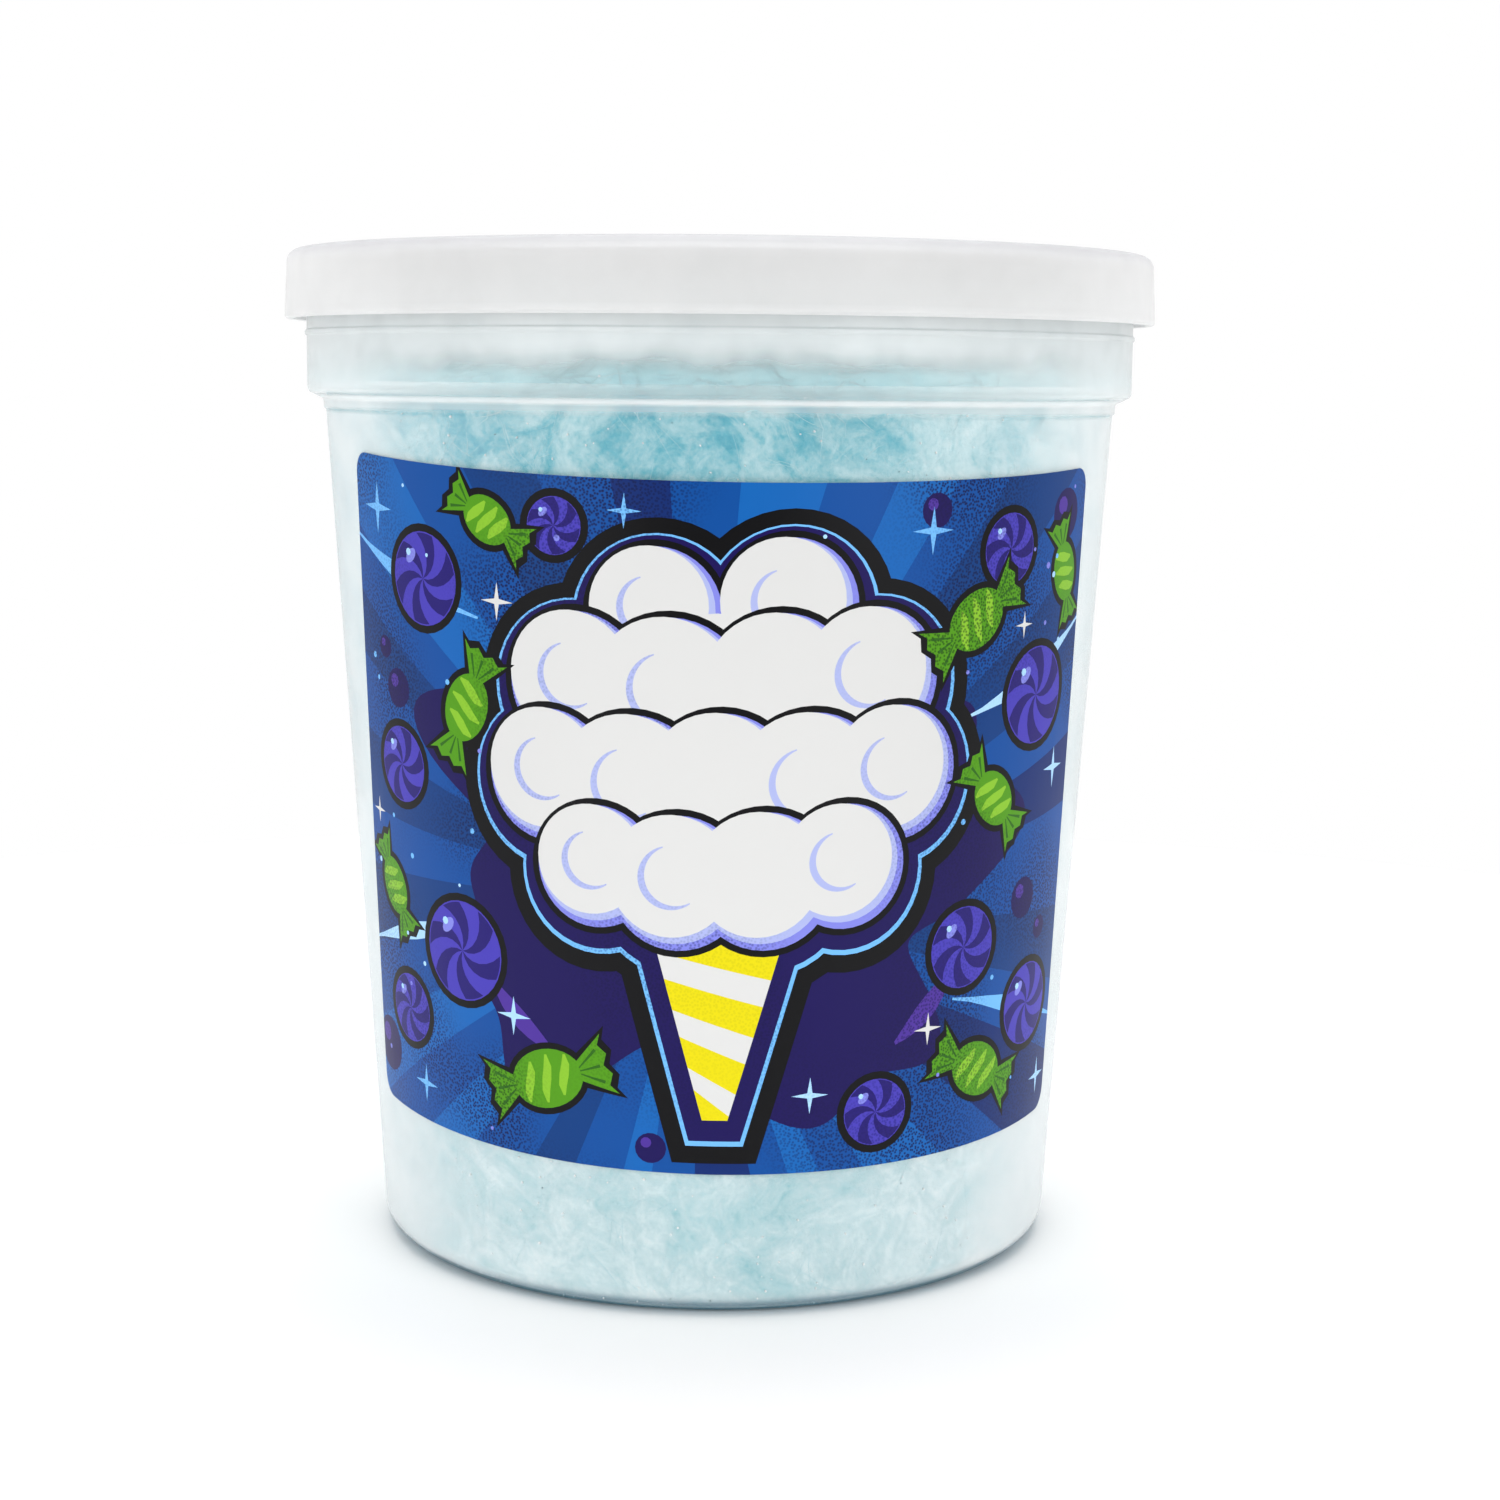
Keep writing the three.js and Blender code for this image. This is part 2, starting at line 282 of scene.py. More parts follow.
tub = {
    "segments": 192,
    "baseRadius": 46.7, "taper": 0.0639, "wall": 0.8, "floorThickness": 1.0,
    "cornerRadius": 4.0, "footWidth": 7.0, "footHeight": 0.9,
    "shoulder": 115.5, "shoulderRise": 0.7,
    "collarRadius": 56.5, "collarCorner": 0.9,
    "bandHeight": 1.2, "bandProud": 0.3,
    "beadHeight": 124.3, "beadWidth": 0.9, "beadProud": 0.25,
    "rimBottom": 129.8, "rimTop": 133.9, "rimRadius": 58.0, "rimFillet": 1.0, "rimLead": 0.6,
    "edgeRound": 0.22,
    "roughness": 0.26, "passing": 0.3,
    # height and tint, with painted light in it: the foot ring is painted teal for the candy seen
    # through it and the dark contact shade at the base, the wall is painted a little greyer low down
    # as shade against the light from the floor, the top edge of the band is painted white as a
    # highlight line, and the collar is painted faintly blue for the light of the candy in it
    "tintsAndPaintedLight": ((0.0, "#4798ae"), (0.9, "#4798ae"), (1.9, "#e3e4e5"), (40.0, "#e3e4e5"), (75.0, "#f5f4f4"),
              (115.2, "#f7f7f7"), (115.4, "#ffffff"),
              (115.9, "#ffffff"), (117.5, "#eef4f5"), (124.0, "#ebf1f2"), (134.0, "#f6f6f6")),
    # height and how cloudy the wall is there, seen square on: more where it is thick, and
    # full at the top edge of the band, where with the white tint it shows the painted highlight line
    "cloudDrift": 0.12, "cloudHeights": (
        (0.0, 0.55), (0.9, 0.5), (1.7, 0.06), (5.0, 0.08), (114.22, 0.08), (114.36, 0.38), (115.2, 0.42),
        (115.38, 1.0), (115.85, 1.0), (115.95, 0.14), (118.8, 0.17), (119.6, 0.22), (120.4, 0.38),
        (121.2, 0.56), (122.0, 0.8), (122.8, 0.93), (134.0, 0.96)),
    # one minus the cosine of the angle of sight, and the cloudiness it adds
    "cloudSides": ((0.08, 0.0), (0.24, 0.15), (0.4, 0.33), (0.58, 0.76), (0.7, 0.98), (1.0, 1.0)),
    # height and how much of that shows: less where it faces down, under the foot, band and collar
    "sideHeights": ((0.0, 0.0), (0.75, 0.0), (2.5, 1.0), (113.9, 1.0), (114.0, 0.3), (114.3, 0.3),
                    (114.4, 1.0), (115.85, 1.0), (115.95, 0.25), (116.3, 0.25), (116.7, 1.0)),
    "cloudGrain": 0.5, "dustWaver": 3,
}
taperAngle = math.atan(tub["taper"])
innerFloor = tub["footHeight"] + tub["floorThickness"]
innerCorner = tub["cornerRadius"] - tub["wall"]
bandBottom = tub["shoulder"] - tub["bandHeight"]
collarBottom = tub["shoulder"] + tub["shoulderRise"]
collarInner = tub["collarRadius"] - tub["wall"]


def wallRadius(height):
    return tub["baseRadius"] + tub["taper"] * height


def innerWall(height):
    return wallRadius(height) - tub["wall"]


innerCornerCentre = innerWall(innerFloor + innerCorner) - innerCorner


def tubProfile():
    corner, wall, proud = tub["cornerRadius"], tub["wall"], tub["bandProud"]
    footOuter = wallRadius(corner) - corner / math.cos(taperAngle)
    footInner = footOuter - tub["footWidth"]
    shoulder, collar, collarCorner = tub["shoulder"], tub["collarRadius"], tub["collarCorner"]
    bead, beadWidth = tub["beadHeight"], tub["beadWidth"]
    rimTop, rimRadius, lead = tub["rimTop"], tub["rimRadius"], tub["rimLead"]
    outside = [(0, tub["footHeight"]), (footInner - tub["footHeight"], tub["footHeight"]), (footInner, 0)]
    outside += arcPoints(footOuter, corner, corner, -90, -math.degrees(taperAngle), 16)
    outside += [
        (wallRadius(bandBottom - proud), bandBottom - proud),
        (wallRadius(bandBottom) + proud, bandBottom),
        (wallRadius(shoulder) + proud, shoulder),
    ]
    outside += arcPoints(collar - collarCorner, collarBottom + collarCorner, collarCorner, -75, 0, 8)
    outside += [
        (collar, bead - beadWidth / 2),
        (collar + tub["beadProud"], bead - beadWidth / 4),
        (collar + tub["beadProud"], bead + beadWidth / 4),
        (collar, bead + beadWidth / 2),
        (collar, tub["rimBottom"] - lead),
        (rimRadius, tub["rimBottom"] + lead),
    ]
    outside += arcPoints(rimRadius - tub["rimFillet"], rimTop - tub["rimFillet"], tub["rimFillet"], 0, 90, 8)
    inside = arcPoints(collarInner + lead, rimTop - lead, lead, 90, 180, 6)
    inside += [
        (collarInner, collarBottom + wall + collarCorner),
        (collarInner - collarCorner, collarBottom + wall),
        (innerWall(shoulder), shoulder + wall / 2),
        (innerWall(bandBottom), bandBottom),
    ]
    inside += arcPoints(innerCornerCentre, innerFloor + innerCorner, innerCorner, 0, -90, 12)
    inside += [(footInner - tub["footHeight"] - tub["floorThickness"], innerFloor), (0, innerFloor)]
    return softened(outside + inside, tub["edgeRound"])


# what tub and lid have in common
plastic = {
    "index": 1.49, "shine": 0.25, "coat": 0.05, "coatRoughness": 0.2,
    "flowWidth": 9, "flowDepth": 0.06, "flowStrength": 0.25,  # slow waves that the mould leaves
    "flowRange": (0.25, 0.75),
    "dustFrom": 117, "dustTo": 119,  # heights between which the dust line begins to waver
}


def clearPlastic(name, finish):
    # Satin moulded polypropylene: what lies against it shows through a thin milky veil,
    # and it goes white where it is thick and where the eye meets it flat.
    material, tree = newMaterial(name)
    place = addNode(tree, "ShaderNodeTexCoord").outputs["Object"]
    flow = noiseField(tree, place, plastic["flowWidth"], 2)
    bump = addNode(tree, "ShaderNodeBump", {
        "Strength": plastic["flowStrength"], "Distance": plastic["flowDepth"] * mm, "Height": flow})
    upward = addNode(tree, "ShaderNodeSeparateXYZ", {"Vector": place}).outputs["Z"]
    top = finish["cloudHeights"][-1][0]
    # sugar dust over the candy ends in a ragged line, so heights waver there
    loose = remap(tree, upward, plastic["dustFrom"] * mm, plastic["dustTo"] * mm,
                  end=finish["dustWaver"] * mm, smooth=True)
    waver = maths(tree, "MULTIPLY_ADD", maths(tree, "SUBTRACT", flow, 0.5), loose, upward)
    height = maths(tree, "DIVIDE", waver, top * mm)

    def byHeight(stops):
        return colourRamp(tree, height, [(z / top, value) for z, value in stops])

    def varied(source, amount, low=0, high=1):
        # a factor that differs from one by up to this amount
        return remap(tree, source, low, high, 1 - amount, 1 + amount)
    facing = addNode(tree, "ShaderNodeLayerWeight", {"Blend": 0.5}).outputs["Facing"]
    sides = colourRamp(tree, facing, finish["cloudSides"])
    hazy = maths(tree, "MULTIPLY", sides, byHeight(finish["sideHeights"]))
    # the satin grain is too fine to draw, so it scatters each look through the wall a little
    grain = addNode(tree, "ShaderNodeTexWhiteNoise", {"Vector": place}, noise_dimensions="3D")
    spread = maths(tree, "MULTIPLY", hazy, varied(grain.outputs["Value"], finish["cloudGrain"]), clamp=True)
    solid = remap(tree, spread, start=byHeight(finish["cloudHeights"]))
    # no two places set alike, so the cloudiness drifts a little, most where there is much of it
    drift = varied(flow, finish["cloudDrift"], *plastic["flowRange"])
    cloud = maths(tree, "MULTIPLY", solid, drift, clamp=True)
    finishMaterial(tree, {
        "Base Color": byHeight(finish["tintsAndPaintedLight"]), "Roughness": finish["roughness"],
        "IOR": plastic["index"], "Transmission Weight": finish["passing"],
        "Specular IOR Level": plastic["shine"], "Coat Weight": plastic["coat"],
        "Coat Roughness": plastic["coatRoughness"], "Normal": bump, "Alpha": cloud})
    return material


# lid: skirt over the rim, flat flange, wall down into the mouth, sunken panel

lid = {
    "radius": 59.4, "draft": 0.35, "wall": 0.85, "top": 135.3, "bottom": 126.1, "corner": 1.7,
    "hookDepth": 0.7, "hookHeight": 1.2, "hookChamfer": 0.3,
    "channelClearance": 0.2, "channelChamfer": 0.6,
    "plugRadius": 55.2, "plugDraft": 0.6, "flangeCorner": 1.2,
    "panelUnderside": 124.2, "panelThickness": 0.85, "panelFillet": 1.2,
    "stepRadius": 44.0, "stepRise": 0.9, "stepSlope": 1.6,
    "edgeRound": 0.25,
    "roughness": 0.5, "passing": 0.35,
    # painted shade: greyer over the round top edge, against the strong light from above
    "tintsAndPaintedLight": ((0.0, "#f9f9f9"), (133.5, "#f9f9f9"), (134.4, "#f1f1f3"), (134.9, "#e1e1e4"),
              (135.3, "#d7d7da")),
    # the skirt lets the rim behind it show, its lower edge is thicker and milkier
    "cloudDrift": 0.05, "cloudHeights": (
        (0.0, 0.62), (126.0, 0.62), (126.2, 0.66), (127.2, 0.5), (133.0, 0.5), (134.4, 0.62), (135.3, 0.66)),
    "cloudSides": ((0.2, 0.0), (0.5, 0.4), (0.95, 0.97)), "sideHeights": ((0.0, 1.0), (135.3, 1.0)),
    "cloudGrain": 0.0, "dustWaver": 0,
}


def lidProfile():
    wall, top, bottom, chamfer = lid["wall"], lid["top"], lid["bottom"], lid["channelChamfer"]
    corner, flange = lid["corner"], lid["flangeCorner"]
    topRadius = lid["radius"] - lid["draft"]
    skirtInner = lid["radius"] - wall
    channelTop = top - wall - lid["channelClearance"]
    mouth = lid["plugRadius"] - wall
    plugFoot = lid["plugRadius"] - lid["plugDraft"]
    under, fillet = lid["panelUnderside"], lid["panelFillet"]
    panelTop = under + lid["panelThickness"]
    panelEdge = mouth - lid["plugDraft"]
    stepInner = lid["stepRadius"] - lid["stepSlope"]
    hookInner = skirtInner - lid["hookDepth"]
    profile = [(0, under + lid["stepRise"]), (stepInner, under + lid["stepRise"]), (lid["stepRadius"], under)]
    profile += arcPoints(plugFoot - fillet, under + fillet, fillet, -90, 0, 8)
    profile += [
        (lid["plugRadius"], channelTop - chamfer),
        (lid["plugRadius"] + chamfer, channelTop),
        (topRadius - wall - chamfer, channelTop),
        (topRadius - wall, channelTop - chamfer),
        (skirtInner, bottom + 2 * lid["hookHeight"]),
        (hookInner, bottom + lid["hookHeight"]),
        (hookInner + lid["hookChamfer"], bottom),
        (lid["radius"] - lid["hookChamfer"], bottom),
        (lid["radius"], bottom + lid["hookChamfer"]),
    ]
    profile += arcPoints(topRadius - corner, top - corner, corner, 0, 90, 12)
    profile += arcPoints(mouth + flange, top - flange, flange, 90, 180, 8)
    profile += [
        (panelEdge, panelTop + fillet),
        (panelEdge - fillet, panelTop),
        (lid["stepRadius"], panelTop),
        (stepInner, panelTop + lid["stepRise"]),
        (0, panelTop + lid["stepRise"]),
    ]
    return softened(profile, lid["edgeRound"])


# label: printed film on the wall, a little askew

label = {
    "widthTop": 115.8, "widthBottom": 113.4, "height": 87.3, "corner": 2.8,
    "tilt": -0.75,  # degrees
    "shift": 0.43, "centreHeight": 62.8,
    "gap": 0.05, "thickness": 0.14,
    "columnWidth": 2.4,  # creases that let the flat print follow the round wall
    "sheetUnit": 100,  # millimetres in one unit of the sheet's own coordinates
    "dotPitch": 0.42,  # real print dots are 0.15 mm, drawn coarser so that they show
    "dotInk": "#33507c", "dotTurn": 28, "dotEdge": (0.2, 0.5),
    "stippleDrift": 26, "stippleFade": (0.38, 0.62),
    "seed": 11,
}
# ink: sRGB colour and how strongly the print dots show in it
inks = {
    "royal": ("#044a97", 1.0),
    "royalLight": ("#0c60af", 1.0),
    "royalDeep": ("#02397a", 0.8),
    "navy": ("#07286a", 0.6),
    "indigo": ("#160952", 0.3),
    "plum": ("#4b2f95", 0.6),
    "violet": ("#453bb0", 0.5),
    "violetDark": ("#20146c", 0.3),
    "lavender": ("#7f83dd", 0.5),
    "mist": ("#a9b2e2", 0.2),
    "sky": ("#6fb6f4", 0.5),
    "ice": ("#a9d6fb", 0.3),
    "white": ("#d6d6d5", 0.0),
    "black": ("#030306", 0.0),
    "yellow": ("#e0d200", 0.1),
    "green": ("#4f930f", 0.7),
    "lime": ("#86bd2c", 0.7),
    "pine": ("#2c6410", 0.4),
}


def onCone(u, v, offset):
    # a point of the unrolled label, wrapped on the tapered wall
    sine = math.sin(taperAngle)
    apex = wallRadius(label["centreHeight"]) / sine
    tilt = math.radians(label["tilt"])
    across = u * math.cos(tilt) - v * math.sin(tilt) + label["shift"]
    along = apex + u * math.sin(tilt) + v * math.cos(tilt)
    slant = math.hypot(across, along)
    turn = math.atan2(across, along) / sine
    radius = slant * sine + offset
    height = label["centreHeight"] + (slant - apex) * math.cos(taperAngle)
    return (radius * math.sin(turn), -radius * math.cos(turn), height)


def circleShape(u, v, radius, count, squash=1.0, turn=0.0):
    points = []
    for i in range(count):
        angle = math.tau * i / count
        x, y = radius * math.cos(angle), radius * squash * math.sin(angle)
        points.append((u + x * math.cos(turn) - y * math.sin(turn),
                       v + x * math.sin(turn) + y * math.cos(turn)))
    return points


def strokeShape(path, widths):
    # a line with a width at each point, as a closed outline
    left, right = [], []
    for i, (point, width) in enumerate(zip(path, widths)):
        before, after = Vector(path[max(i - 1, 0)]), Vector(path[min(i + 1, len(path) - 1)])
        along = (after - before).normalized()
        side = Vector((-along.y, along.x)) * width / 2
        left.append(tuple(Vector(point) + side))
        right.append(tuple(Vector(point) - side))
    return left + right[::-1]


def paintRays(art):
    # beams that spread from behind the middle, in three blues
    centre, reach, draw = Vector((-3.0, -7.0)), 90, random.Random(label["seed"])
    turn = 0.1
    while turn < math.tau:
        width = draw.uniform(0.1, 0.22)
        ink = draw.choice(("royalLight", "royalDeep", "royalDeep", "navy"))
        corners = [centre + Vector((math.cos(a), math.sin(a))) * reach for a in (turn, turn + width)]
        art.append((ink, [tuple(centre + (corners[0] - centre) * 0.05)] + [tuple(c) for c in corners]))
        turn += width + draw.uniform(0.1, 0.2)


def paintSplash(art):
    # a syrup splash with long rounded tongues behind the puff, and drops round it
    points, count = [], 220
    for i in range(count):
        angle = math.tau * i / count
        wave = math.sin(5 * angle + 0.7) + 0.55 * math.sin(9 * angle + 2.1) + 0.3 * math.sin(14 * angle)
        radius = 33 + 5.2 * wave
        points.append((radius * 1.14 * math.cos(angle), -3 + radius * 0.98 * math.sin(angle)))
    art.append(("indigo", points))
    for u, v, radius in ((-48, 14, 2.6), (-51, 19, 1.5), (46, -12, 2.8), (51, -17, 1.6), (-30, 39, 1.9),
                         (27, 40, 2.2), (-8, -40.5, 2.0), (52, 38, 3.4), (-54, -36, 3.8)):
        art.append(("indigo", circleShape(u, v, radius, 18)))
        art.append(("plum", circleShape(u - radius * 0.3, v + radius * 0.35, radius * 0.35, 10)))
    for start, width in ((0.35, 2.6), (2.3, 3.0), (3.75, 2.4), (5.4, 2.8)):
        turns = [start + t * 0.05 for t in range(8)]
        path = [(37.0 * math.cos(a), -3 + 32.0 * math.sin(a)) for a in turns]
        art.append(("plum", strokeShape(path, [width * math.sin(math.pi * (t + 0.4) / 8) for t in range(8)])))


def paintPuff(art):
    # the big puff of spun sugar on its paper cone, outlined like a sticker
    # rows of lobes from the back one to the front one, each lobe a place and a radius
    rows = (
        ((-8.5, 27.5, 8.2), (8.0, 28.5, 8.6), (0, 19.5, 8.2)),
        ((-18.5, 18.5, 8.8), (18.8, 19.5, 9.0), (-6.5, 17.5, 9.6), (7.0, 18.5, 9.4)),
        ((-22.0, 6.5, 8.4), (22.4, 7.5, 8.6), (-11, 5.5, 9.4), (11.2, 6.0, 9.6), (0, 6.5, 9.0)),
        ((-15.5, -4.5, 7.8), (15.8, -4.0, 8.0), (-5.2, -6.0, 8.6), (5.6, -5.6, 8.8)),
    )
    wide, tip, high, low = 9.5, 1.6, -8, -36.5  # half widths and heights of the cone
    for ink, grow, drop in (("black", 4.6, 1.1), ("sky", 2.5, 0.9), ("indigo", 2.05, 0.7)):
        across, end = wide + grow * 1.1, tip + grow * 0.8
        art.append((ink, [(-across, high - drop), (across, high - drop),
                          (end, low - grow - drop), (-end, low - grow - drop)]))
        for row in rows:
            for u, v, radius in row:
                art.append((ink, circleShape(u + drop * 0.3, v - drop, radius + grow, 40)))
    art.append(("yellow", [(-wide, high), (wide, high), (tip, low), (-tip, low)]))
    lean = 0.12  # the stripes run aslant across the cone
    for start, stop in ((0.24, 0.36), (0.5, 0.62), (0.76, 0.86)):
        corners = ((-1, start), (1, start + lean), (1, stop + lean), (-1, stop))
        art.append(("white", [(side * (wide + (tip - wide) * share), high - (high - low) * share)
                              for side, share in corners]))
    # each row is outlined over the one behind it and shaded along its lower right
    layers = (("black", 0.85, 0.0), ("lavender", 0.0, 0.0), ("mist", -0.45, 0.4), ("white", -0.8, 0.85))
    steps, sweep = 24, 3.4
    for row in rows:
        for ink, grow, shift in layers:
            for u, v, radius in row:
                art.append((ink, circleShape(u - shift, v + shift, radius + grow, 40)))
        # a curl of floss in all but the last
        for u, v, radius in row[:-1]:
            turns = [1.9 + sweep * t / steps for t in range(steps + 1)]
            path = [polar(u - 0.6, v + 0.8, 0.46 * radius, a) for a in turns]
            widths = [0.15 + 0.75 * math.sin(math.pi * t / steps) for t in range(steps + 1)]
            art.append(("mist", strokeShape(path, widths)))


def paintPinwheel(art, u, v, radius, turn):
    # round hard candy with a curled pinwheel and a highlight
    art.append(("black", circleShape(u, v, radius + 1.0, 30)))
    art.append(("violet", circleShape(u, v, radius, 30)))
    edge, width, curl, blades = radius * 0.97, 0.52, 0.9, 6
    shares = [1 - t / 6 for t in range(1, 6)]
    for k in range(blades):
        start = turn + math.tau * k / blades
        outer = [polar(u, v, edge, start + width * t / 5) for t in range(6)]
        inner = [polar(u, v, edge * share, start + width - curl * (1 - share)) for share in shares]
        back = [polar(u, v, edge * share, start - curl * (1 - share)) for share in shares[::-1]]
        art.append(("violetDark", outer + inner + [(u, v)] + back))
    art.append(("lavender", circleShape(u - radius * 0.4, v + radius * 0.45, radius * 0.2, 12, 0.6, 0.8)))
    art.append(("ice", circleShape(u - radius * 0.48, v + radius * 0.52, radius * 0.08, 8)))


def paintWrapped(art, u, v, size, turn):
    # sweet in a green twist wrapper
    def paint(ink, points):
        art.append((ink, [(u + (x * math.cos(turn) - y * math.sin(turn)),
                           v + (x * math.sin(turn) + y * math.cos(turn))) for x, y in points]))

    def fan(side, grow):
        near, far, spread = 0.72 * size - grow, 1.75 * size + grow, 0.78 * size + grow
        points = [(side * near, 0.12 * size + grow * 0.6)]
        for k in range(7):
            depth = far - (0.16 * size if k % 2 else 0.0)
            points.append((side * depth, spread * (1 - 2 * k / 6)))
        return points + [(side * near, -0.12 * size - grow * 0.6)]
    for ink, grow in (("black", 0.85), ("green", 0.0)):
        for side in (-1, 1):
            paint(ink, fan(side, grow))
        paint(ink, circleShape(0, 0, size + grow, 30, (0.74 * size + grow) / (size + grow)))
    for side in (-1, 1):
        for k in (-1, 0, 1):
            path = [(side * 0.95 * size, 0.08 * k * size), (side * 1.5 * size, 0.42 * k * size)]
            paint("pine", strokeShape(path, [0.16, 0.42]))
    for k, squash in ((-1, 0.8), (0, 0.95), (1, 0.8)):
        path = [(0.5 * k * size + 0.16 * size * math.sin(1.7 * t), 0.62 * size * t * squash)
                for t in (-1, -0.5, 0, 0.5, 1)]
        paint("lime", strokeShape(path, [0.3, 1.1, 1.3, 1.1, 0.3]))


def paintSparkle(art, ink, u, v, size):
    # a star with four points
    art.append((ink, [polar(u, v, size if k % 2 == 0 else size * 0.2, math.tau * k / 8) for k in range(8)]))


def labelOutline():
    half, straight = label["height"] / 2, 1 - label["corner"] / (label["widthTop"] / 2)
    ring = []
    for i in range(9):
        angle = math.radians(90 * i / 8)
        ring.append((-straight - (1 - straight) * math.cos(angle),
                     half - label["corner"] * (1 - math.sin(angle))))
    ring += [(-across, v) for across, v in ring[::-1]]
    ring += [(-across, -v) for across, v in ring]
    outline = []
    for across, v in ring:
        share = 0.5 + v / label["height"]
        width = label["widthBottom"] + (label["widthTop"] - label["widthBottom"]) * share
        outline.append((across * width / 2, v))
    return outline


def labelArt():
    art = [("royal", labelOutline())]
    paintRays(art)
    paintSplash(art)
    # curved light streaks that sweep in from the edges
    for side, v, rise, ink in ((-1, 33, -9, "sky"), (-1, -22, 8, "ice"),
                               (1, 24, -12, "ice"), (1, -31, 9, "sky")):
        path = [(side * (58 - 3.2 * t), v + rise * math.sin(t / 7.5)) for t in range(9)]
        art.append((ink, strokeShape(path, [0.3 + 2.1 * math.sin(math.pi * t / 8) ** 2 for t in range(9)])))
    paintPuff(art)
    for u, v, radius, turn in ((-42, 29, 6.0, 0.2), (-47.5, 4, 5.0, 1.1), (-35.5, -18.5, 6.6, 0.6),
                               (-47, -29, 4.6, 1.9), (39.5, 34.5, 4.6, 0.9), (46.5, 15, 6.4, 0.4),
                               (34, -16.5, 5.4, 1.4), (48.5, -27, 5.6, 2.2), (-21.5, 37.5, 3.6, 0.5),
                               (21, -36.5, 4.4, 1.0)):
        paintPinwheel(art, u, v, radius, turn)
    for u, v, size, turn in ((-34.5, 13.5, 4.6, 1.15), (34, 26, 4.8, 0.55), (-22, -33, 5.2, 0.35),
                             (38.5, 2.5, 4.2, -0.8), (37.5, -33.5, 4.8, -0.45), (-50.5, -13, 4.0, -1.0),
                             (52.5, 30.5, 4.0, 1.9), (-31, 37.5, 3.8, -0.5)):
        paintWrapped(art, u, v, size, turn)
    for ink, u, v, size in (("sky", -52, 37, 3.4), ("white", -29.5, 27.5, 2.4), ("ice", -27, -25.5, 2.6),
                            ("sky", 26.5, 37.5, 3.0), ("white", 28.5, -26.5, 2.2), ("ice", 52.5, 4.5, 2.8),
                            ("sky", -43.5, -38.5, 2.6), ("ice", 12, -33.5, 2.4), ("white", 43, 24.5, 1.8),
                            ("sky", -12.5, 39.8, 2.2), ("ice", 53.5, -38.5, 2.6),
                            ("white", -54.5, -3.5, 1.8)):
        paintSparkle(art, ink, u, v, size)
    # fine drops, but none over the puff
    draw = random.Random(label["seed"] + 1)
    for k in range(60):
        u, v = draw.uniform(-56, 56), draw.uniform(-41.5, 41.5)
        if abs(u) < 30 and -38 < v < 36:
            continue
        art.append((draw.choice(("sky", "ice", "lavender")), circleShape(u, v, draw.uniform(0.22, 0.5), 8)))
    return art


def makeLabel(material):
    # the shapes are cut into one flat print, where a later shape covers an earlier one
    art = labelArt()
    points, faces, edges = [], [], []
    for _, outline in art:
        shape = [Vector(p) for p in outline]
        area = sum(a.x * b.y - b.x * a.y for a, b in zip(shape, shape[1:] + shape[:1]))
        if area < 0:
            shape.reverse()
        faces.append(list(range(len(points), len(points) + len(shape))))
        points += shape
    half = label["widthTop"] / 2
    columns = round(2 * half / label["columnWidth"])
    for i in range(1, columns):
        u = -half + 2 * half * i / columns
        edges.append((len(points), len(points) + 1))
        points += [Vector((u, -label["height"])), Vector((u, label["height"]))]
    flat, _, triangles, _, _, owners = geometry.delaunay_2d_cdt(points, edges, faces, 1, 1e-5)
    kept = [(tri, max(owned)) for tri, owned in zip(triangles, owners) if 0 in owned]
    used = sorted({i for tri, _ in kept for i in tri})
    order = {old: new for new, old in enumerate(used)}
    flat = [flat[i] for i in used]
    count = len(flat)
    solid = [onCone(p.x, p.y, label["gap"] + label["thickness"]) for p in flat]
    solid += [onCone(p.x, p.y, label["gap"]) for p in flat]
    front = [tuple(order[i] for i in tri) for tri, _ in kept]
    back = [tuple(i + count for i in reversed(tri)) for tri in front]
    # a dictionary, because it keeps its order
    borders = dict.fromkeys((a, b) for tri in front for a, b in zip(tri, tri[1:] + tri[:1]))
    sides = [(b, a, a + count, b + count) for a, b in borders if (b, a) not in borders]
    mesh = bpy.data.meshes.new("label_film")
    mesh.from_pydata([Vector(p) * mm for p in solid], [], front + back + sides)
    mesh.materials.append(material)
    mesh.shade_smooth()
    mesh.set_sharp_from_angle(angle=math.radians(40))
    inkLayer = mesh.color_attributes.new("ink", "FLOAT_COLOR", "CORNER")
    sheet, unit = mesh.uv_layers.new(name="sheet"), label["sheetUnit"]
    tones = {name: colour(hexValue, grain) for name, (hexValue, grain) in inks.items()}
    for number, polygon in enumerate(mesh.polygons):
        # the back and the cut edge are bare
        tone = tones[art[kept[number][1]][0] if number < len(kept) else "white"]
        for loop in polygon.loop_indices:
            inkLayer.data[loop].color = tone
            place = flat[mesh.loops[loop].vertex_index % count]
            sheet.data[loop].uv = ((place.x + half) / unit, (place.y + half) / unit)
    print("label:", len(art), "shapes,", len(kept), "triangles of print")
    return newObject("label_film", mesh)


